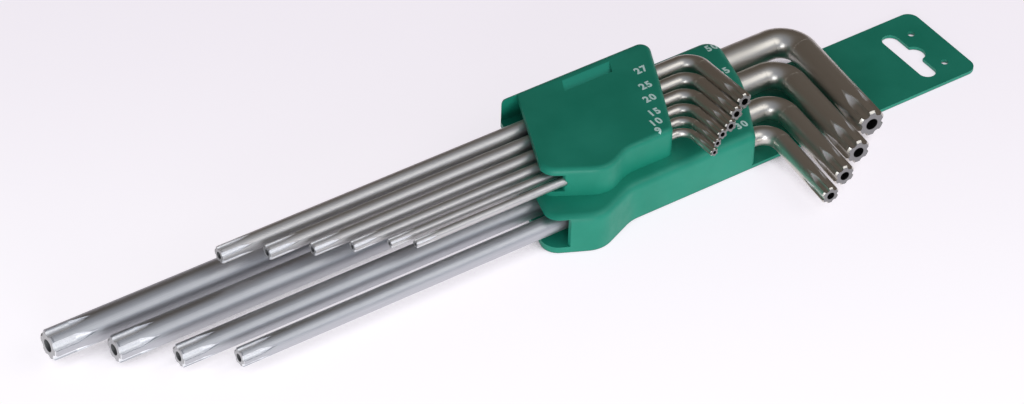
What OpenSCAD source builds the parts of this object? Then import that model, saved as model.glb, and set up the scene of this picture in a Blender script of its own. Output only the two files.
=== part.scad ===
// Set of ten L-shaped star keys with pin holes in their tips, in a two-tier plastic holder.
// The long arms lie along X with their tips at -X, and the hanger plate of the holder points to +X.
// The origin is on the underside of the lower tier. The front of the holder is at -Y. Sizes in millimetres.

/* [Star sizes] */
// Size 9 key, across the points of the star
star_9 = 2.5; // [2.3:0.05:2.65]
// Size 10 key, across the points of the star
star_10 = 2.74; // [2.5:0.05:2.95]
// Size 15 key, across the points of the star
star_15 = 3.27; // [3:0.05:3.5]
// Size 20 key, across the points of the star
star_20 = 3.86; // [3.6:0.05:4.1]
// Size 25 key, across the points of the star
star_25 = 4.43; // [4.1:0.05:4.7]
// Size 27 key, across the points of the star
star_27 = 4.99; // [4.6:0.05:5.3]
// Size 30 key, across the points of the star
star_30 = 5.52; // [5.1:0.05:5.9]
// Size 40 key, across the points of the star
star_40 = 6.65; // [6.2:0.05:7]
// Size 45 key, across the points of the star
star_45 = 7.82; // [7.3:0.05:8.2]
// Size 50 key, across the points of the star
star_50 = 8.83; // [8.2:0.05:9.2]

/* [Long arms] */
// Size 9 key, overall length of the long arm
long_9 = 93; // [80:1:110]
// Size 10 key, overall length of the long arm
long_10 = 102; // [90:1:120]
// Size 15 key, overall length of the long arm
long_15 = 115; // [100:1:130]
// Size 20 key, overall length of the long arm
long_20 = 129; // [110:1:145]
// Size 25 key, overall length of the long arm
long_25 = 145; // [125:1:160]
// Size 27 key, overall length of the long arm
long_27 = 162; // [140:1:180]
// Size 30 key, overall length of the long arm
long_30 = 181; // [155:1:200]
// Size 40 key, overall length of the long arm
long_40 = 204; // [180:1:225]
// Size 45 key, overall length of the long arm
long_45 = 228; // [200:1:250]
// Size 50 key, overall length of the long arm
long_50 = 254; // [225:1:280]

/* [Short arms] */
// Size 9 key, overall length of the short arm
short_9 = 15.5; // [14:0.5:18]
// Size 10 key, overall length of the short arm
short_10 = 17; // [15:0.5:20]
// Size 15 key, overall length of the short arm
short_15 = 19.5; // [17.5:0.5:23]
// Size 20 key, overall length of the short arm
short_20 = 23.5; // [21:0.5:27]
// Size 25 key, overall length of the short arm
short_25 = 26; // [23.5:0.5:30]
// Size 27 key, overall length of the short arm
short_27 = 29.5; // [27:0.5:34]
// Size 30 key, overall length of the short arm
short_30 = 35.5; // [32:0.5:40]
// Size 40 key, overall length of the short arm
short_40 = 40.5; // [37:0.5:45]
// Size 45 key, overall length of the short arm
short_45 = 46.5; // [42:0.5:50]
// Size 50 key, overall length of the short arm
short_50 = 50; // [44:0.5:54]

/* [Key rods] */
// How much thicker the round rod is than the star at its tip
rod_stock = 0.1; // [0.04:0.02:0.2]
// Inside radius of every bend
bend_inside = 2.8; // [2:0.1:4]
// How much further the steel swells out in a bend, on each side
bend_swell = 0.03; // [0.02:0.01:0.06]
// Angle between the arms of each key of the lower tier, in degrees
lower_bend_angle = 84; // [82:0.5:92]
// Angle between the arms of each key of the upper tier, in degrees
upper_bend_angle = 87; // [82:0.5:92]
// Gap between the rods of the size 30 and size 40 keys
gap_30_40 = 3; // [2:0.1:4]
// Gap between the rods of the size 40 and size 45 keys
gap_40_45 = 4.2; // [3:0.1:5]
// Gap between the rods of the size 45 and size 50 keys
gap_45_50 = 2.5; // [1.2:0.1:3.5]
// Gap between neighbouring rods of the upper tier
upper_rod_gap = 1.25; // [0.8:0.05:2]
// Gap between neighbouring short arms of the lower tier
lower_nest_gap = 3; // [1:0.1:5]
// Gap between neighbouring short arms of the upper tier
upper_nest_gap = 0.35; // [0.3:0.05:1.5]
// Upward tilt of the short arms of the upper tier, in degrees
upper_arm_tilt = 6.5; // [0:0.5:20]
// Gap between the end of the lower tier and the start of its smallest key's bend
lower_bend_gap = 0.2; // [0.1:0.1:2]
// Gap between the end of the upper tier and the start of its smallest key's bend
upper_bend_gap = 1.1; // [0.1:0.1:2]

/* [Lower tier] */
// Length of the lower tier along its back wall
lower_l = 76.6; // [70:0.1:90]
// Distance from the back face of the lower tier to its thickest rod
lower_back_room = 2; // [1.6:0.1:4]
// Room between the front wall of the lower tier and its thinnest rod
lower_front_room = 0.6; // [0.2:0.1:2]
// How far the bulge of the lower tier stands out from its straight front wall
lower_bulge = 5.9; // [3:0.1:7]
// Distance along X from the left end of the lower tier to the fullest part of its bulge
lower_bulge_in = 2.1; // [0:0.1:5]
// Length along X of the sweep from the straight front wall to the bulge of the lower tier
lower_sweep = 14; // [11:0.5:18]
// How far the open left corner of the lower tier lies behind its straight front wall
lower_mouth_in = 1.2; // [0:0.1:3]
// How far the slanted right end of the lower tier bows out
lower_bow = 3; // [0.5:0.1:4.4]
// Slant of the right end of the lower tier away from square, in degrees
lower_right_slant = 22; // [18:0.5:26]
// Slant of the left end of the lower tier away from square, in degrees
lower_left_slant = 17; // [10:0.5:20]
// Length along X by which the front wall of the lower tier stops short of its open left corner
lower_mouth_l = 6.4; // [4:0.1:10]
// Thickness of the floor
floor_t = 1.9; // [1.5:0.1:3]
// Thickness of the lower tier's roof
lower_roof_t = 1.1; // [0.9:0.1:2.5]

/* [Upper tier] */
// Length of the upper tier along its back wall
upper_l = 51.8; // [46:0.1:56]
// Distance along X from the right end of the lower tier back to that of the upper tier
upper_step = 25; // [22:0.1:30]
// Distance from the back face of the upper tier to its thickest rod
upper_back_room = 7.4; // [6.5:0.1:9]
// Room between the front wall of the upper tier and its thinnest rod
upper_front_room = 0.2; // [0.2:0.1:1.5]
// How far the bulge of the upper tier stands out from its straight front wall
upper_bulge = 4.4; // [2.5:0.1:5]
// Distance along X from the left end of the upper tier to the fullest part of its bulge
upper_bulge_in = 8.3; // [6:0.1:10]
// Length along X of the sweep from the straight front wall to the bulge of the upper tier
upper_sweep = 9.5; // [8:0.5:12]
// How far the open left corner of the upper tier lies behind its straight front wall
upper_mouth_in = 4.7; // [3:0.1:6]
// How far the slanted right end of the upper tier bows out
upper_bow = 0.1; // [0.1:0.1:2]
// Slant of the right end of the upper tier away from square, in degrees
upper_right_slant = 26; // [20:0.5:28]
// Slant of the left end of the upper tier away from square, in degrees
upper_left_slant = 13.5; // [10:0.5:18]
// Length along X by which the front wall of the upper tier stops short of its open left corner
upper_mouth_l = 5.5; // [4:0.1:10]
// How far the upper roof stands back from the left end of the back wall
roof_in = 5.2; // [3:0.1:7]
// Slant of the upper roof's left edge away from square, in degrees
roof_slant = 23; // [18:0.5:26]
// Thickness of the upper tier's floor
upper_floor_t = 1.7; // [1.2:0.1:3]
// Thickness of the upper tier's roof
upper_roof_t = 2.1; // [1.6:0.1:3]

/* [Both tiers] */
// Thickness of the back and front walls
wall_t = 1.2; // [0.9:0.1:2]
// Room above and below the thickest rod of each tier
rod_room = 0.3; // [0.2:0.05:1]
// Length along X of the bored block at the right end of each tier
block_l = 13; // [9:0.5:16]
// Thickness along X of the comb that carries the rods halfway
comb_t = 3; // [2:0.2:5]
// Distance along X from the left end to the comb
comb_in = 20; // [15:0.5:22]
// Play around a rod in its bore
bore_clear = 0.1; // [0.05:0.01:0.18]
// Diameter of the pegs that hold the upper tier on the lower one
peg_d = 4; // [3:0.1:5]
// Play around a peg in its hole
peg_clear = 0.04; // [0.02:0.01:0.1]

/* [Sunk panel] */
// Length of the sunk panel in the upper tier's roof
panel_l = 16.6; // [10:0.2:20]
// Width of the sunk panel
panel_w = 4.4; // [3:0.2:6]
// Depth of the sunk panel at its front, from where it rises to the roof
panel_depth = 1.2; // [0.4:0.1:1.5]
// Distance from the back face of the upper tier to the sunk panel
panel_back = 2.8; // [1.4:0.1:3]
// Distance along X from the left end of the upper tier to the sunk panel
panel_in = 19.4; // [14:0.2:22]

/* [Corners of the tiers] */
// Radius of the back left corners
back_left_r = 2; // [1:0.5:4]
// Radius of the back right corner of the lower tier
lower_back_right_r = 5; // [3:0.5:7]
// Radius of the back right corner of the upper tier
upper_back_right_r = 3; // [2:0.5:5]
// Radius of the front right corners
front_right_r = 2.5; // [1:0.5:4]
// Radius of the sweep between front wall and bulge
sweep_r = 12; // [4:0.5:14]
// Radius of the bulge
bulge_r = 9; // [6:0.5:10]
// Radius of the open left corners
mouth_r = 5; // [3:0.5:6]
// Radius in the middle of the bowed right ends
bow_r = 40; // [25:1:50]
// Radius of the rounded edge around the lower roof
lower_edge_r = 2.5; // [1:0.1:3]
// Radius of the rounded edge around the upper roof
upper_edge_r = 1.6; // [0.8:0.1:2.2]

/* [Hanger] */
// Length of the hanger plate beyond the right end of the lower tier
hanger_l = 65.6; // [58:0.2:80]
// Width of the hanger plate
hanger_w = 31.9; // [28:0.1:36]
// Thickness of the hanger plate
hanger_t = 1; // [0.8:0.1:1.5]
// Radius of the hanger plate's corners
hanger_r = 3.5; // [2:0.5:8]
// Overall length of the hanging slot, across the plate
slot_l = 22.4; // [18:0.2:24]
// Width of the hanging slot, along X
slot_w = 5.4; // [4.6:0.2:6]
// Radius of the round notch in the slot's outer side
notch_r = 3.2; // [2.4:0.1:4]
// How far the round notch stands out from the slot's side
notch_out = 2.7; // [1.5:0.1:3.5]
// Distance from the middle of the slot to the end of the plate
slot_setback = 14; // [12.5:0.1:18]
// Distance between the two small holes beyond the slot
pin_hole_spacing = 15.8; // [13:0.2:18]
// Diameter of the two small holes
pin_hole_d = 2.3; // [1.6:0.1:3]
// Distance from the small holes to the end of the plate
pin_hole_setback = 6.8; // [5:0.2:7.4]
// How far the slot and the small holes lie before the plate's middle line
hole_shift = 0.6; // [0:0.1:2]

/* [Hidden] */
$fn = 64;

// How far a cut runs past the face that it opens
over = 1;

// Colours of the moulded plastic and of the steel
plastic = [0.1, 0.4, 0.32];
steel = [0.55, 0.54, 0.52];

// Back right corner of the lower tier in the part's frame
back_y = 24;
lower_right_x = 49.5;
lower_left_x = lower_right_x - lower_l;
upper_right_x = lower_right_x - upper_step;
upper_left_x = upper_right_x - upper_l;

// Keys from the smallest to the largest: the first six are in the upper tier, the last four in the lower one
upper_stars = [star_9, star_10, star_15, star_20, star_25, star_27];
lower_stars = [star_30, star_40, star_45, star_50];
stars = concat(upper_stars, lower_stars);
longs = [long_9, long_10, long_15, long_20, long_25, long_27, long_30, long_40, long_45, long_50];
shorts = [short_9, short_10, short_15, short_20, short_25, short_27, short_30, short_40, short_45, short_50];
upper_first = 0;
lower_first = len(upper_stars);
upper_last = lower_first - 1;
lower_last = len(stars) - 1;
function in_upper(i) = i <= upper_last;
function rod_d(i) = stars[i] + rod_stock;
function rod_r(i) = rod_d(i) / 2;
function bend_r(i) = bend_inside + rod_r(i);
function bend_angle(i) = in_upper(i) ? upper_bend_angle : lower_bend_angle;
// Distance along an arm from where its bend starts to where the middle lines of the two arms cross
function bend_run(i) = bend_r(i) / tan(bend_angle(i) / 2);

// Shares of the star's width that give its section: root circle, flutes, pin hole and chamfer
points = 6;
root_share = 0.72;
flute_share = 0.165;
pin_share = 0.42;
pin_depth_share = 0.6;
chamfer_share = 0.07;
// Length of the flutes: a least length, what a share of the star's width adds to it, and the part that runs out
flute_least = 6;
flute_length_share = 0.95;
run_out_part = 0.5;

// Heights: floor, lower rods, lower roof, upper floor, upper rods, upper roof
lower_axis_z = floor_t + rod_room + rod_r(lower_last);
lower_hollow_z = lower_axis_z + rod_r(lower_last) + rod_room;
lower_top_z = lower_hollow_z + lower_roof_t;
upper_floor_z = lower_top_z + upper_floor_t;
upper_axis_z = upper_floor_z + rod_room + rod_r(upper_last);
upper_hollow_z = upper_axis_z + rod_r(upper_last) + rod_room;
upper_top_z = upper_hollow_z + upper_roof_t;
function rod_z(i) = in_upper(i) ? upper_axis_z : lower_axis_z;

// Rows of rods: the thickest rod of each tier keeps its distance from the back face, the rest follow by their gaps
lower_rod_gaps = [gap_30_40, gap_40_45, gap_45_50];
function rod_gap(i) = in_upper(i) ? upper_rod_gap : lower_rod_gaps[i - lower_first];
function rod_y(i) =
    i == lower_last ? back_y - lower_back_room - rod_r(i)
    : i == upper_last ? back_y - upper_back_room - rod_r(i)
    : rod_y(i + 1) - rod_r(i + 1) - rod_gap(i) - rod_r(i);
lower_front_y = rod_y(lower_first) - rod_r(lower_first) - lower_front_room - wall_t;
upper_front_y = rod_y(upper_first) - rod_r(upper_first) - upper_front_room - wall_t;

// Plan outline of a tier, anticlockwise: back left, open corner, bulge, sweep, front right, bow, back right
function tier_corners(left_x, right_x, left_slant, right_slant, front_y, bulge, bulge_in, sweep, mouth_in, bow) =
    let (depth = back_y - front_y, mouth_y = front_y + mouth_in)
    [[left_x, back_y],
     [left_x - (back_y - mouth_y) * tan(left_slant), mouth_y],
     [left_x + bulge_in, front_y - bulge],
     [left_x + bulge_in + sweep, front_y],
     [right_x - depth * tan(right_slant), front_y],
     [right_x - depth / 2 * tan(right_slant) + bow, back_y - depth / 2],
     [right_x, back_y]];
function open_corner(corners) = corners[1];
function front_right_corner(corners) = corners[4];
function bow_corner(corners) = corners[5];
function tier_radii(back_right_r) =
    [back_left_r, mouth_r, bulge_r, sweep_r, front_right_r, bow_r, back_right_r];
lower_corners = tier_corners(lower_left_x, lower_right_x, lower_left_slant, lower_right_slant, lower_front_y,
                             lower_bulge, lower_bulge_in, lower_sweep, lower_mouth_in, lower_bow);
upper_corners = tier_corners(upper_left_x, upper_right_x, upper_left_slant, upper_right_slant, upper_front_y,
                             upper_bulge, upper_bulge_in, upper_sweep, upper_mouth_in, upper_bow);
lower_radii = tier_radii(lower_back_right_r);
upper_radii = tier_radii(upper_back_right_r);

// Where the front half of a tier's right end lies along X, at the place y
function end_x(corners, y) =
    let (a = front_right_corner(corners), b = bow_corner(corners))
    a.x + (b.x - a.x) * (y - a.y) / (b.y - a.y);
// Where the middle lines of each key's arms cross, along X: the smallest key sits at the tier's end, the rest nest
// around it
function nest_gap(i) = in_upper(i) ? upper_nest_gap : lower_nest_gap;
function arm_x(i) =
    i == lower_first ? end_x(lower_corners, rod_y(i)) + lower_bend_gap + bend_run(i)
    : i == upper_first ? end_x(upper_corners, rod_y(i)) + upper_bend_gap + bend_run(i)
    : arm_x(i - 1) + rod_r(i - 1) + nest_gap(i) + rod_r(i);

function unit(v) = v / norm(v);
function left_of(v) = [-v.y, v.x];
function cross_z(a, b) = a.x * b.y - a.y * b.x;
function short_way(a) = a > 180 ? a - 360 : a < -180 ? a + 360 : a;
// Points of an arc of radius r that rounds the corner b between a and c
arc_steps = 8;
function round_corner(a, b, c, r) =
    let (u = unit(a - b), w = unit(c - b), half = acos(u * w) / 2)
    let (o = b + unit(u + w) * r / sin(half))
    let (p = b + u * r / tan(half) - o, q = b + w * r / tan(half) - o)
    let (from = atan2(p.y, p.x), by = short_way(atan2(q.y, q.x) - from))
    [for (k = [0:arc_steps]) o + r * [cos(from + by * k / arc_steps), sin(from + by * k / arc_steps)]];
function rounded(corners, radii) =
    let (n = len(corners))
    [for (i = [0:n - 1]) each round_corner(corners[(i + n - 1) % n], corners[i], corners[(i + 1) % n], radii[i])];
// Corners and radii of an outline moved inwards by w, for corners that run anticlockwise
least_r = 0.5;
function side_in(corners, i) =
    let (n = len(corners))
    left_of(unit(corners[(i + 1) % n] - corners[i % n]));
function inset_corners(corners, w) =
    let (n = len(corners))
    [for (i = [0:n - 1])
        let (s = side_in(corners, i + n - 1), t = side_in(corners, i))
        corners[i] + w * (s + t) / (1 + s * t)];
function inset_radii(corners, radii, w) =
    let (n = len(corners))
    [for (i = [0:n - 1])
        let (s = side_in(corners, i + n - 1), t = side_in(corners, i))
        max(least_r, radii[i] - w * sign(cross_z(s, t)))];

function inset_outline(corners, radii, w) = rounded(inset_corners(corners, w), inset_radii(corners, radii, w));

// Body with a plan outline, upright walls and a rounded edge around its top, as rings of points from the foot up
edge_steps = 5;
module rounded_body(corners, radii, from_z, to_z, edge_r) {
    foot = inset_outline(corners, radii, 0);
    n = len(foot);
    edge = [for (k = [0:edge_steps])
        let (a = 90 * k / edge_steps)
        [for (p = inset_outline(corners, radii, edge_r * (1 - cos(a))))
            [p.x, p.y, to_z - edge_r * (1 - sin(a))]]];
    rings = concat([[for (p = foot) [p.x, p.y, from_z]]], edge);
    top = len(rings) - 1;
    sides = [for (k = [0:top - 1], i = [0:n - 1])
        let (a = k * n + i, b = k * n + (i + 1) % n)
        each [[a, a + n, b], [b, a + n, b + n]]];
    polyhedron([for (ring = rings) each ring],
               concat([[for (i = [0:n - 1]) i]], sides, [[for (i = [n - 1:-1:0]) top * n + i]]));
}

// Slanted strip of plan between two places along X, given at the back face, that runs past the front
reach = 2 * (back_y - lower_front_y);
module slanted_strip(from_x, to_x, slant) {
    lean = reach * tan(slant);
    polygon([[from_x, back_y], [from_x - lean, back_y - reach], [to_x - lean, back_y - reach], [to_x, back_y]]);
}

// Plan of the open left end: the end inside the back wall, and the front wall up to where it starts
module mouth_plan(corners, left_x, left_slant, mouth_l) {
    intersection() {
        translate([left_x - reach, back_y - wall_t - reach])
            square([2 * reach, reach]);
        union() {
            slanted_strip(left_x - reach, left_x + 2 * wall_t, left_slant);
            translate([open_corner(corners).x + mouth_l - reach, back_y - reach])
                square(reach);
        }
    }
}

// Plan of the hollow between the open mouth and the bored block, less the comb
module hollow_plan(corners, radii, left_x, right_x, left_slant, right_slant, mouth_l) {
    difference() {
        union() {
            intersection() {
                polygon(inset_outline(corners, radii, wall_t));
                slanted_strip(left_x - reach, right_x - block_l, right_slant);
            }
            mouth_plan(corners, left_x, left_slant, mouth_l);
        }
        slanted_strip(left_x + comb_in, left_x + comb_in + comb_t, left_slant);
    }
}

// Bores for the rods from one key to another, right through the tier
module rod_bores(first, last) {
    for (i = [first:last])
        translate([-reach, rod_y(i), rod_z(i)])
            rotate([0, 90, 0])
                cylinder(r = rod_r(i) + bore_clear, h = 2 * reach);
}

// Pegs through the lower roof: one near each end of the back wall and one in the bulge
peg_in = 9;
peg_places = [
    [upper_left_x + peg_in, back_y - peg_d],
    [upper_right_x - block_l, back_y - peg_d],
    [upper_left_x + upper_bulge_in, upper_front_y + peg_d / 2]];
module pegs(diameter, from_z, to_z) {
    for (place = peg_places)
        translate([place.x, place.y, from_z])
            cylinder(d = diameter, h = to_z - from_z);
}

// Hanger plate: it runs out from under the lower tier, flush with its straight front wall
hanger_end_x = lower_right_x + hanger_l;
hanger_mid_y = lower_front_y + hanger_w / 2;
hanger_start_x = front_right_corner(lower_corners).x - block_l / 2;
hanger_corners = [
    [hanger_start_x, lower_front_y],
    [hanger_end_x, lower_front_y],
    [hanger_end_x, lower_front_y + hanger_w],
    [hanger_start_x, lower_front_y + hanger_w]];
hanger_radii = [least_r, hanger_r, hanger_r, least_r];

hole_y = hanger_mid_y - hole_shift;

module hanging_slot() {
    straight = slot_l - slot_w;
    translate([hanger_end_x - slot_setback, hole_y]) {
        square([slot_w, straight], center = true);
        for (side = [-1, 1])
            translate([0, side * straight / 2])
                circle(d = slot_w);
        translate([slot_w / 2 + notch_out - notch_r, 0])
            circle(r = notch_r);
    }
}

module hanger_plate() {
    difference() {
        linear_extrude(hanger_t)
            difference() {
                polygon(rounded(hanger_corners, hanger_radii));
                hanging_slot();
            }
        for (side = [-1, 1])
            translate([hanger_end_x - pin_hole_setback, hole_y + side * pin_hole_spacing / 2, -over])
                cylinder(d = pin_hole_d, h = hanger_t + 2 * over);
    }
}

module lower_tier() {
    color(plastic)
        difference() {
            union() {
                rounded_body(lower_corners, lower_radii, 0, lower_top_z, lower_edge_r);
                hanger_plate();
            }
            translate([0, 0, floor_t])
                linear_extrude(lower_hollow_z - floor_t)
                    hollow_plan(lower_corners, lower_radii, lower_left_x, lower_right_x, lower_left_slant,
                                lower_right_slant, lower_mouth_l);
            rod_bores(lower_first, lower_last);
            pegs(peg_d + 2 * peg_clear, lower_hollow_z - over, lower_top_z + over);
        }
}

// Sunk panel with slanted ends, along the back edge of the upper roof: a ramp that is deepest at its front
module sunk_panel() {
    lean = panel_w * tan(upper_right_slant);
    translate([upper_left_x + panel_in, back_y - panel_back, upper_top_z])
        intersection() {
            translate([0, 0, -panel_depth])
                linear_extrude(panel_depth + over)
                    polygon([[0, 0], [-lean, -panel_w], [panel_l - lean, -panel_w], [panel_l, 0]]);
            rotate([atan(panel_depth / panel_w), 0, 0])
                translate([-reach, -reach, 0])
                    cube([2 * reach, 2 * reach, reach]);
        }
}

// What is cut from the upper roof's left edge, so that it slants back and shows the inside of the back wall
module roof_cut() {
    translate([0, 0, upper_hollow_z - over])
        linear_extrude(upper_top_z - upper_hollow_z + 2 * over)
            translate([0, -wall_t])
                slanted_strip(upper_left_x - reach, upper_left_x + roof_in, roof_slant);
}

module upper_tier() {
    color(plastic)
        difference() {
            union() {
                rounded_body(upper_corners, upper_radii, lower_top_z, upper_top_z, upper_edge_r);
                pegs(peg_d, lower_hollow_z, lower_top_z + upper_floor_t / 2);
            }
            translate([0, 0, upper_floor_z])
                linear_extrude(upper_hollow_z - upper_floor_z)
                    hollow_plan(upper_corners, upper_radii, upper_left_x, upper_right_x, upper_left_slant,
                                upper_right_slant, upper_mouth_l);
            rod_bores(upper_first, upper_last);
            roof_cut();
            sunk_panel();
        }
}

// What is cut from a rod's end to leave the star: flutes, pin hole and chamfer, with the end at the origin
module star_cut(star, r) {
    flute_r = flute_share * star;
    whole_l = flute_least + flute_length_share * star;
    flute_l = (1 - run_out_part) * whole_l;
    chamfer = chamfer_share * star;
    for (k = [0:points - 1])
        rotate([0, 0, k * 360 / points])
            translate([root_share * star / 2 + flute_r, 0, 0]) {
                translate([0, 0, -over])
                    cylinder(r = flute_r, h = flute_l + over);
                translate([0, 0, flute_l])
                    cylinder(r1 = flute_r, r2 = 0, h = run_out_part * whole_l);
            }
    translate([0, 0, -over])
        cylinder(d = pin_share * star, h = pin_depth_share * star + over);
    rotate_extrude()
        polygon([[r - chamfer - over, -over], [r + over, -over], [r + over, chamfer + over]]);
}

// How far each arm runs into the bend
arm_in = 0.2;
// L-shaped key with the middle lines of its arms crossing at the origin: long arm to -X, short arm towards -Y
module star_key(star, r, bend, run, angle, long, short, tilt) {
    tip_x = bend - run + r - long;
    tip_y = r - short;
    lean = 90 - angle;
    rotate([-tilt, 0, 0])
        difference() {
            union() {
                translate([tip_x, 0, 0])
                    rotate([0, 90, 0])
                        cylinder(r = r, h = -run - tip_x + arm_in);
                translate([-run, -bend, 0])
                    rotate([0, 0, -lean])
                        rotate_extrude(angle = 90 + lean)
                            translate([bend, 0])
                                circle(r = r + bend_swell);
                rotate([0, 0, -lean])
                    translate([0, tip_y, 0])
                        rotate([-90, 0, 0])
                            cylinder(r = r, h = -run - tip_y + arm_in);
            }
            translate([tip_x, 0, 0])
                rotate([0, 90, 0])
                    star_cut(star, r);
            rotate([0, 0, -lean])
                translate([0, tip_y, 0])
                    rotate([-90, 0, 0])
                        star_cut(star, r);
        }
}

module placed_key(i) {
    color(steel)
        translate([arm_x(i), rod_y(i), rod_z(i)])
            star_key(stars[i], rod_r(i), bend_r(i), bend_run(i), bend_angle(i), longs[i], shorts[i],
                     in_upper(i) ? upper_arm_tilt : 0);
}

module star_key_9() { placed_key(0); }
module star_key_10() { placed_key(1); }
module star_key_15() { placed_key(2); }
module star_key_20() { placed_key(3); }
module star_key_25() { placed_key(4); }
module star_key_27() { placed_key(5); }
module star_key_30() { placed_key(6); }
module star_key_40() { placed_key(7); }
module star_key_45() { placed_key(8); }
module star_key_50() { placed_key(9); }

lower_tier();
upper_tier();
star_key_9();
star_key_10();
star_key_15();
star_key_20();
star_key_25();
star_key_27();
star_key_30();
star_key_40();
star_key_45();
star_key_50();
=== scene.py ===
"""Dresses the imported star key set: green holder, satin steel keys and printed size numbers, in a pale studio."""
from math import cos, radians, sin, tan

import bmesh
import bpy
from mathutils import Matrix, Vector
from mathutils.bvhtree import BVHTree


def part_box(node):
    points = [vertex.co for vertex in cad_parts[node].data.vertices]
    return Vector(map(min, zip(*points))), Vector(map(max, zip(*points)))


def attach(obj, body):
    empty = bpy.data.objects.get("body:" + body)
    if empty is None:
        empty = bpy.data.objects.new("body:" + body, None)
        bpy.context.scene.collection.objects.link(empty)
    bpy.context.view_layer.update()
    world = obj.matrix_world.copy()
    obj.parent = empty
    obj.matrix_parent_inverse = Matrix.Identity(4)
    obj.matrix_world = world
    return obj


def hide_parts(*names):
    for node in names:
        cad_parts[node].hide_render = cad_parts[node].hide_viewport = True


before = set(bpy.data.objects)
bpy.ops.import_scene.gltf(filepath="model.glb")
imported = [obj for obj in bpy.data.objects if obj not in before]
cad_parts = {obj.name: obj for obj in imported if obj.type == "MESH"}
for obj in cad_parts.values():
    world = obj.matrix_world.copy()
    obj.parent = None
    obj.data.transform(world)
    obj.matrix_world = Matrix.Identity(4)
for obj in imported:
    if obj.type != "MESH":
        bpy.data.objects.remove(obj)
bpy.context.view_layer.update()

MM = 0.001
scene = bpy.context.scene

# Size number of each key and width across the points of its star, in millimetres
UPPER_STARS = {27: 4.99, 25: 4.43, 20: 3.86, 15: 3.27, 10: 2.74, 9: 2.5}
LOWER_STARS = {50: 8.83, 45: 7.82, 40: 6.65, 30: 5.52}
# How much thicker a rod is than its star, and the inside radius of the bends, in millimetres
ROD_STOCK = 0.1
BEND_INSIDE = 2.8
# How far the short arms lean towards the long tips and tilt up, in degrees
UPPER_LEAN = 3
UPPER_TILT = 6.5
LOWER_LEAN = 6
LOWER_TILT = 0
# Shares of the star's width: the pin hole and the rod up to where its flutes cut in
PIN_SHARE = 0.42
FLUTED_SHARE = 0.475
# Length of the fluted end: a least length in millimetres and what a share of the star's width adds to it
FLUTED_LEAST = 6
FLUTED_LENGTH_SHARE = 0.95
# Pale share of the flutes' length, from where they start: over 1 is all of them, and the short tips have a pale
# run-out, a painted highlight
LONG_PALE_SHARE = 1.5
SHORT_PALE_SHARE = 0.42
PALE_FADE_SHARE = 0.2
# Tones of the steel, painted reflections: the upper long arms lighter and warm, the lower long arms darker and bluish,
# and the bends with the short arms warm
UPPER_REFLECTION_TONE = Vector((0.67, 0.655, 0.645))
LOWER_REFLECTION_TONE = Vector((0.55, 0.558, 0.582))
BENT_REFLECTION_TONE = Vector((0.64, 0.61, 0.56))
# Millimetres before the bend at which a rod starts to take the warm painted reflection, has all of it, and starts to
# turn glossier
WARM_FROM = 40
WARM_TO = 16
GLOSS_FROM = 12
# Roughness of the bends and the flutes, and how metallic the flutes look
BEND_ROUGHNESS = 0.37
FLUTED_ROUGHNESS = 0.45
FLUTED_METAL = 0.6
# Greys of the end faces and of the pin holes in them, the pin holes darkened as painted shade
LONG_FACE_GREY = 0.5
LONG_HOLE_SHADE_GREY = 0.25
SHORT_FACE_GREY = 0.28
SHORT_HOLE_SHADE_GREY = 0.11
# Depth in millimetres that counts as an end face
FACE_DEPTH = 0.1
# Colours of the ground flutes, pale as their real finish and as a painted highlight, the plastic, its sunk panel and
# the printing ink
GROUND_SHEEN_DULL = (0.84, 0.84, 0.85, 1)
GROUND_SHEEN_BRIGHT = (0.96, 0.96, 0.97, 1)
GREEN_DARK = (0.008, 0.25, 0.16, 1)
GREEN_LIGHT = (0.016, 0.29, 0.19, 1)
PANEL_GREEN = (0.03, 0.42, 0.29, 1)
INK_WORN = (0.5, 0.85, 0.74, 1)
INK_WHOLE = (0.75, 0.95, 0.9, 1)
# Box around the sunk panel, from just under the upper roof
PANEL_HALF = Vector((11, 2.3, 0.65)) * MM
PANEL_MIDDLE = Vector((-0.7 * MM, 19 * MM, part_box("upper_tier")[1].z - 0.02 * MM - PANEL_HALF.z))


def new_material(name):
    """New node material with its node tree and shader."""
    material = bpy.data.materials.new(name)
    material.use_nodes = True
    tree = material.node_tree
    return material, tree, tree.nodes["Principled BSDF"]


def add(tree, kind, **values):
    """New node with properties set by name and inputs set by socket name."""
    node = tree.nodes.new(kind)
    for name, value in values.items():
        if name in node.inputs:
            node.inputs[name].default_value = value
        else:
            setattr(node, name, value)
    return node


def feed(tree, value, socket):
    """Gives a socket an output or a constant."""
    if isinstance(value, bpy.types.NodeSocket):
        tree.links.new(value, socket)
    else:
        socket.default_value = value


def noise(tree, place, scale, detail=2.0, stretch=(1, 1, 1)):
    """Noise over a place, in features per metre, stretched by factors along X, Y and Z."""
    mapping = add(tree, "ShaderNodeMapping", Scale=stretch)
    tree.links.new(place, mapping.inputs["Vector"])
    node = add(tree, "ShaderNodeTexNoise", Scale=scale, Detail=detail)
    tree.links.new(mapping.outputs["Vector"], node.inputs["Vector"])
    return node.outputs["Fac"]


def ramp(tree, factor, stops):
    """Colour ramp over a factor, from a list of places and colours."""
    node = add(tree, "ShaderNodeValToRGB")
    elements = node.color_ramp.elements
    elements[0].position, elements[0].color = stops[0]
    elements[1].position, elements[1].color = stops[-1]
    for place, colour in stops[1:-1]:
        elements.new(place).color = colour
    tree.links.new(factor, node.inputs["Fac"])
    return node.outputs["Color"]


def ranged(tree, value, from_low, from_high, to_low, to_high):
    """Value carried smoothly from one range to another, and held at its ends."""
    node = add(tree, "ShaderNodeMapRange", interpolation_type="SMOOTHSTEP")
    for name, number in zip(("From Min", "From Max", "To Min", "To Max"), (from_low, from_high, to_low, to_high)):
        node.inputs[name].default_value = number
    tree.links.new(value, node.inputs["Value"])
    return node.outputs["Result"]


def math_node(tree, operation, a, b):
    """Math node over two values."""
    node = add(tree, "ShaderNodeMath", operation=operation)
    feed(tree, a, node.inputs[0])
    feed(tree, b, node.inputs[1])
    return node.outputs[0]


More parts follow.
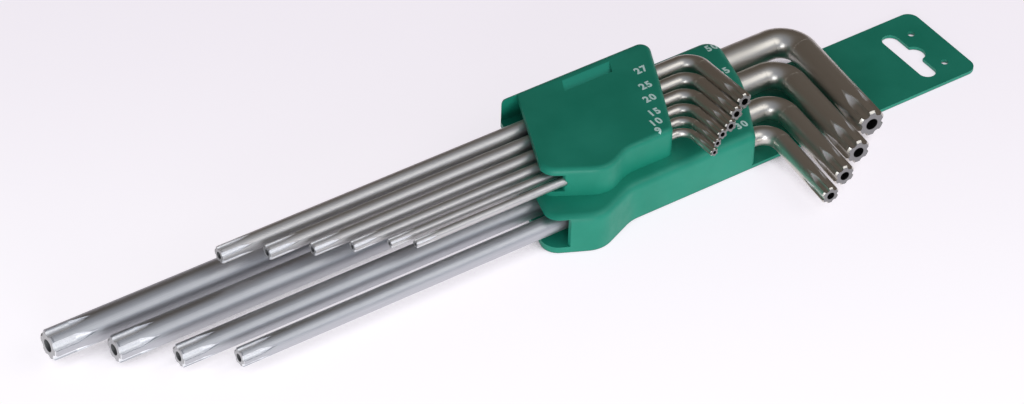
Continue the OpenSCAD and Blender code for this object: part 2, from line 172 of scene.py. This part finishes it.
def vector_math(tree, operation, a, b=None):
    """Vector math node over one or two vectors, with its vector and its number."""
    node = add(tree, "ShaderNodeVectorMath", operation=operation)
    feed(tree, a, node.inputs[0])
    if b is not None:
        feed(tree, b, node.inputs[1])
    return node.outputs[0], node.outputs[1]


def mixed(tree, factor, a, b):
    """Mix of two colours by a factor."""
    node = add(tree, "ShaderNodeMix", data_type="RGBA")
    tree.links.new(factor, node.inputs["Factor"])
    feed(tree, a, node.inputs[6])
    feed(tree, b, node.inputs[7])
    return node.outputs[2]


def blended(tree, factor, a, b):
    """Blend of two numbers by a factor."""
    node = add(tree, "ShaderNodeMix", data_type="FLOAT")
    tree.links.new(factor, node.inputs["Factor"])
    feed(tree, a, node.inputs[2])
    feed(tree, b, node.inputs[3])
    return node.outputs[0]


def bump(tree, shader, height, strength, distance):
    """Bump from a height, onto the shader."""
    node = add(tree, "ShaderNodeBump", Strength=strength, Distance=distance)
    tree.links.new(height, node.inputs["Height"])
    tree.links.new(node.outputs["Normal"], shader.inputs["Normal"])


def box_mask(tree, place, middle, half):
    """Where a place lies in a box given by its middle and its half sizes."""
    off, _ = vector_math(tree, "SUBTRACT", place, middle)
    share, _ = vector_math(tree, "DIVIDE", off, half)
    share, _ = vector_math(tree, "ABSOLUTE", share)
    split = add(tree, "ShaderNodeSeparateXYZ")
    tree.links.new(share, split.inputs["Vector"])
    widest = math_node(tree, "MAXIMUM", split.outputs["X"], split.outputs["Y"])
    widest = math_node(tree, "MAXIMUM", widest, split.outputs["Z"])
    return ranged(tree, widest, 0.99, 1, 1, 0)


def plastic():
    """Moulded green plastic with a fine grain, a slight cloudiness and a paler sunk panel."""
    material, tree, shader = new_material("holder_plastic")
    place = add(tree, "ShaderNodeTexCoord").outputs["Object"]
    cloud = noise(tree, place, 60, detail=4)
    colour = ramp(tree, cloud, [(0.35, GREEN_DARK), (0.65, GREEN_LIGHT)])
    colour = mixed(tree, box_mask(tree, place, PANEL_MIDDLE, PANEL_HALF), colour, PANEL_GREEN)
    tree.links.new(colour, shader.inputs["Base Color"])
    rough = ranged(tree, noise(tree, place, 300, detail=3), 0.3, 0.7, 0.4, 0.5)
    tree.links.new(rough, shader.inputs["Roughness"])
    bump(tree, shader, noise(tree, place, 2600), 0.12, 0.00005)
    shader.inputs["Specular IOR Level"].default_value = 0.35
    return material


def arm_masks(tree, place, crossing, way, reach, width, fluted_l, pale_share):
    """Where a place lies in the pale share of an arm's flutes, on its end face and in its pin hole."""
    fade = 0.2 * width
    cut = 0.02 * width
    start = reach - fluted_l
    off, _ = vector_math(tree, "SUBTRACT", place, crossing)
    _, along = vector_math(tree, "DOT_PRODUCT", off, way)
    on_axis, _ = vector_math(tree, "PROJECT", off, way)
    _, distance = vector_math(tree, "DISTANCE", off, on_axis)
    end = ranged(tree, along, start - fade, start + fade, 0, 1)
    pale_from = start + (pale_share - PALE_FADE_SHARE) * fluted_l
    pale_to = start + (pale_share + PALE_FADE_SHARE) * fluted_l
    pale = ranged(tree, along, pale_from, pale_to, 1, 0)
    fluted = ranged(tree, distance, FLUTED_SHARE * width - cut, FLUTED_SHARE * width, 1, 0)
    fluted = math_node(tree, "MULTIPLY", fluted, math_node(tree, "MULTIPLY", end, pale))
    hole = ranged(tree, distance, PIN_SHARE / 2 * width, PIN_SHARE / 2 * width + cut, 1, 0)
    face = ranged(tree, along, reach - FACE_DEPTH * MM, reach, 0, 1)
    return fluted, face, math_node(tree, "MULTIPLY", hole, end)


def steel(size, star, lean, tilt, reflection_tone):
    """Steel of one key: satin long arm tinted by its row's painted reflection, glossier bend and short arm with a warm
    painted reflection, pale ground flutes with painted highlights, grey end faces, and pin holes darkened as painted
    shade.
    """
    node = f"star_key_{size}"
    low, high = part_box(node)
    width = star * MM
    fluted_l = (FLUTED_LEAST + FLUTED_LENGTH_SHARE * star) * MM
    rod_r = (star + ROD_STOCK) / 2 * MM
    bend_r = BEND_INSIDE * MM + rod_r
    bend_run = bend_r / tan(radians(90 - lean) / 2)
    crossing = Vector((high.x - bend_r - rod_r + bend_run, high.y - rod_r, low.z + rod_r))
    long_way = Vector((-1, 0, 0))
    level = cos(radians(lean))
    short_way = Vector((-sin(radians(lean)), -level * cos(radians(tilt)), level * sin(radians(tilt))))

    material, tree, shader = new_material(f"key_steel_{size}")
    place = add(tree, "ShaderNodeTexCoord").outputs["Object"]
    split = add(tree, "ShaderNodeSeparateXYZ")
    tree.links.new(place, split.inputs["Vector"])
    bend_x = crossing.x - bend_run
    bent = ranged(tree, split.outputs["X"], bend_x - GLOSS_FROM * MM, bend_x, 0, 1)
    warm_reflection = ranged(tree, split.outputs["X"], bend_x - WARM_FROM * MM, bend_x - WARM_TO * MM, 0, 1)

    brushed = noise(tree, place, 1, detail=3, stretch=(60, 5000, 5000))
    # Painted reflection: the row's tone, with a real brushed grain over it
    dull = (*(0.93 * reflection_tone), 1)
    bright = (*(1.07 * reflection_tone), 1)
    colour = ramp(tree, brushed, [(0.3, dull), (0.7, bright)])
    # Painted warm reflection, from before the bend over the bend and the short arm
    colour = mixed(tree, warm_reflection, colour, (*BENT_REFLECTION_TONE, 1))
    rough = ranged(tree, brushed, 0.3, 0.7, 0.45, 0.53)
    rough = blended(tree, bent, rough, BEND_ROUGHNESS)
    ground_and_sheen = ramp(tree, noise(tree, place, 2500), [(0.3, GROUND_SHEEN_DULL), (0.7, GROUND_SHEEN_BRIGHT)])
    metal = ranged(tree, brushed, 0.3, 0.7, 0.98, 1)
    long_tip = (long_way, LONG_PALE_SHARE, LONG_FACE_GREY, LONG_HOLE_SHADE_GREY)
    short_tip = (short_way, SHORT_PALE_SHARE, SHORT_FACE_GREY, SHORT_HOLE_SHADE_GREY)
    for way, pale_share, face_grey, hole_shade_grey in (long_tip, short_tip):
        reach = max((vertex.co - crossing).dot(way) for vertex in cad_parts[node].data.vertices)
        fluted, face, hole = arm_masks(tree, place, crossing, way, reach, width, fluted_l, pale_share)
        # Pale flutes: real ground finish with a painted highlight, all along the long tips and at the short tips'
        # run-out
        colour = mixed(tree, fluted, colour, ground_and_sheen)
        colour = mixed(tree, face, colour, (face_grey, face_grey, face_grey, 1))
        # Painted shade: the pin hole darkened
        colour = mixed(tree, hole, colour, (hole_shade_grey, hole_shade_grey, hole_shade_grey, 1))
        rough = blended(tree, fluted, rough, FLUTED_ROUGHNESS)
        metal = blended(tree, fluted, metal, FLUTED_METAL)
    tree.links.new(colour, shader.inputs["Base Color"])
    tree.links.new(rough, shader.inputs["Roughness"])
    tree.links.new(metal, shader.inputs["Metallic"])
    bump(tree, shader, brushed, 0.06, 0.00003)
    return material


def print_ink():
    """Pale printing ink, slightly worn."""
    material, tree, shader = new_material("print_ink")
    place = add(tree, "ShaderNodeTexCoord").outputs["Object"]
    wear = noise(tree, place, 1500, detail=4)
    colour = ramp(tree, wear, [(0.3, INK_WORN), (0.55, INK_WHOLE)])
    tree.links.new(colour, shader.inputs["Base Color"])
    shader.inputs["Roughness"].default_value = 0.5
    return material


def skinned(node, material):
    """Piece that stands for a moulding: its own faces, welded, with smooth roundings and softened edges."""
    weld = 0.002 * MM
    flat = radians(0.2)
    crease = radians(30)
    soft_edge = 0.25 * MM
    work = bmesh.new()
    work.from_mesh(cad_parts[node].data)
    bmesh.ops.remove_doubles(work, verts=work.verts, dist=weld)
    bmesh.ops.dissolve_limit(work, angle_limit=flat, verts=work.verts, edges=work.edges)
    for edge in work.edges:
        edge.smooth = len(edge.link_faces) == 2 and edge.calc_face_angle(0) < crease
    for face in work.faces:
        face.smooth = True
    mesh = bpy.data.meshes.new(f"{node}_skin")
    work.to_mesh(mesh)
    work.free()
    mesh.materials.append(material)
    piece = bpy.data.objects.new(f"{node}_skin", mesh)
    scene.collection.objects.link(piece)
    bevel = piece.modifiers.new("edges", "BEVEL")
    bevel.width = soft_edge
    bevel.segments = 2
    bevel.limit_method = "ANGLE"
    bevel.angle_limit = crease
    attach(piece, "holder")
    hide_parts(node)


holder_plastic = plastic()
for tier in ("lower_tier", "upper_tier"):
    skinned(tier, holder_plastic)

UPPER_KEYS = (UPPER_STARS, UPPER_LEAN, UPPER_TILT, UPPER_REFLECTION_TONE)
LOWER_KEYS = (LOWER_STARS, LOWER_LEAN, LOWER_TILT, LOWER_REFLECTION_TONE)
for stars, lean, tilt, reflection_tone in (UPPER_KEYS, LOWER_KEYS):
    for number, across in stars.items():
        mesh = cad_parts[f"star_key_{number}"].data
        mesh.materials.clear()
        mesh.materials.append(steel(number, across, lean, tilt, reflection_tone))


# Printed size numbers: places on the roofs, height, weight and thickness in millimetres, and how far digits are spread
INK = print_ink()
UPPER_NUMBERS = {27: (13.9, 13.0), 25: (10.9, 6.5), 20: (8.5, 1.2), 15: (5.9, -4.5), 10: (3.7, -8.3), 9: (2.2, -11.7)}
LOWER_NUMBERS = {50: (44.8, 19.8), 45: (41.0, 8.9), 40: (37.0, -4.0), 30: (30.8, -13.4)}
NUMBER_H = 3.5
NUMBER_WEIGHT = 0.14
NUMBER_SPACING = 1.2
INK_T = 0.03


def printed(number, place, tier):
    """Thin printed number that lies on a tier's roof, and follows it over its rounded edge."""
    curve = bpy.data.curves.new(f"number_{number}", "FONT")
    curve.body = str(number)
    curve.size = NUMBER_H * MM
    curve.offset = NUMBER_WEIGHT * MM
    curve.space_character = NUMBER_SPACING
    curve.extrude = INK_T * MM / 2
    curve.align_x = "CENTER"
    curve.align_y = "CENTER"
    writer = bpy.data.objects.new("writer", curve)
    scene.collection.objects.link(writer)
    bpy.context.view_layer.update()
    mesh = bpy.data.meshes.new_from_object(writer.evaluated_get(bpy.context.evaluated_depsgraph_get()))
    bpy.data.objects.remove(writer)
    work = bmesh.new()
    work.from_mesh(mesh)
    bmesh.ops.triangulate(work, faces=work.faces)
    bmesh.ops.subdivide_edges(work, edges=work.edges, cuts=2, use_grid_fill=True)
    work.to_mesh(mesh)
    work.free()
    mesh.materials.clear()
    mesh.materials.append(INK)
    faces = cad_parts[tier].data
    roof = BVHTree.FromPolygons([v.co for v in faces.vertices], [f.vertices for f in faces.polygons])
    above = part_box(tier)[1].z + MM
    for vertex in mesh.vertices:
        x, y = place[0] * MM + vertex.co.x, place[1] * MM + vertex.co.y
        spot = roof.ray_cast(Vector((x, y, above)), Vector((0, 0, -1)))[0]
        vertex.co = (x, y, spot.z + vertex.co.z + INK_T * MM / 2)
    piece = bpy.data.objects.new(f"number_{number}", mesh)
    scene.collection.objects.link(piece)
    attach(piece, "holder")


for number, place in UPPER_NUMBERS.items():
    printed(number, place, "upper_tier")
for number, place in LOWER_NUMBERS.items():
    printed(number, place, "lower_tier")


# Camera at the photo's place
FOCAL_PX = 4243
IMAGE_W_PX = 1024
camera = bpy.data.objects.new("camera", bpy.data.cameras.new("camera"))
scene.collection.objects.link(camera)
camera.data.sensor_width = 36
camera.data.lens = FOCAL_PX * camera.data.sensor_width / IMAGE_W_PX
right = Vector((0.8231, -0.567, 0.0303))
down = Vector((-0.3488, -0.547, -0.761))
forward = Vector((0.4481, 0.6158, -0.6481))
camera_place = Vector((-0.5718, -0.7321, 0.7766))
turned = Matrix((right, -down, -forward)).transposed()
camera.matrix_world = Matrix.Translation(camera_place) @ turned.to_4x4()
scene.camera = camera

# Pale floor with painted light: it glows a little, so that shadows stay faint, brighter in front as a painted pool of
# light, and dark in the gaps between the keys as painted shade
FLOOR_TONE = (0.36, 0.345, 0.36, 1)
NEAR_PAINTED_GLOW = (0.87, 0.85, 0.88, 1)
FAR_PAINTED_GLOW = (0.72, 0.68, 0.73, 1)
# Way over the floor from the camera, and the places along it between which the painted glow changes, in metres
AWAY = Vector((0.588, 0.808, 0))
GLOW_FROM = -0.16
GLOW_TO = 0.1
# How near something must be to dim the glow with painted shade, in metres
GAP_SHADE_REACH = 0.01
# Half the floor's width and its height, in metres
FLOOR_HALF = 4.0
FLOOR_Z = -0.0002
floor_material, floor_tree, floor_shader = new_material("floor")
floor_shader.inputs["Base Color"].default_value = FLOOR_TONE
floor_shader.inputs["Roughness"].default_value = 0.9
floor_shader.inputs["Specular IOR Level"].default_value = 0
floor_place = add(floor_tree, "ShaderNodeTexCoord").outputs["Object"]
_, away = vector_math(floor_tree, "DOT_PRODUCT", floor_place, AWAY)
glow_share = ranged(floor_tree, away, GLOW_FROM, GLOW_TO, 0, 1)
# Painted pool of light: the glow brighter in front
painted_floor_glow = ramp(floor_tree, glow_share, [(0.0, NEAR_PAINTED_GLOW), (1.0, FAR_PAINTED_GLOW)])
floor_tree.links.new(painted_floor_glow, floor_shader.inputs["Emission Color"])
# Painted shade: the glow dims where the keys stand close over the floor and in the gaps between them
shelter = add(floor_tree, "ShaderNodeAmbientOcclusion", samples=8, Distance=GAP_SHADE_REACH)
gap_shaded_glow = ranged(floor_tree, shelter.outputs["AO"], 0.12, 0.5, 0.08, 1)
floor_tree.links.new(gap_shaded_glow, floor_shader.inputs["Emission Strength"])
floor_mesh = bpy.data.meshes.new("floor")
corners = [(-FLOOR_HALF, -FLOOR_HALF, FLOOR_Z), (FLOOR_HALF, -FLOOR_HALF, FLOOR_Z),
           (FLOOR_HALF, FLOOR_HALF, FLOOR_Z), (-FLOOR_HALF, FLOOR_HALF, FLOOR_Z)]
floor_mesh.from_pydata(corners, [], [(0, 1, 2, 3)])
floor_mesh.materials.append(floor_material)
floor = bpy.data.objects.new("floor", floor_mesh)
scene.collection.objects.link(floor)


def soft_light(name, place, size, energy, colour):
    """Wide soft light that looks at the part."""
    light = bpy.data.objects.new(name, bpy.data.lights.new(name, "AREA"))
    light.data.shape = "RECTANGLE"
    light.data.size, light.data.size_y = size
    light.data.energy = energy
    light.data.color = colour
    scene.collection.objects.link(light)
    light.location = place
    light.rotation_euler = (-Vector(place)).to_track_quat("-Z", "Y").to_euler()


soft_light("key_light", (0.6, -0.75, 0.95), (1.2, 0.7), 4.2, (1, 0.98, 0.93))
soft_light("front_light", (-0.7, -1.3, 0.2), (0.8, 0.8), 12, (0.95, 0.98, 1))

# World: dim blue grey in front and overhead, dark and brownish behind, as places from front to back with their colours
SKY_STOPS = [(0.0, (0.29, 0.32, 0.4, 1)), (0.5, (0.31, 0.33, 0.37, 1)), (0.74, (0.14, 0.115, 0.09, 1)),
             (1.0, (0.1, 0.08, 0.065, 1))]
world = bpy.data.worlds.new("studio")
scene.world = world
world.use_nodes = True
sky = world.node_tree
direction = add(sky, "ShaderNodeTexCoord").outputs["Generated"]
split = add(sky, "ShaderNodeSeparateXYZ")
sky.links.new(direction, split.inputs["Vector"])
shade = ramp(sky, ranged(sky, split.outputs["Y"], -1, 1, 0, 1), SKY_STOPS)
sky.links.new(shade, sky.nodes["Background"].inputs["Color"])

scene.view_settings.view_transform = "Standard"
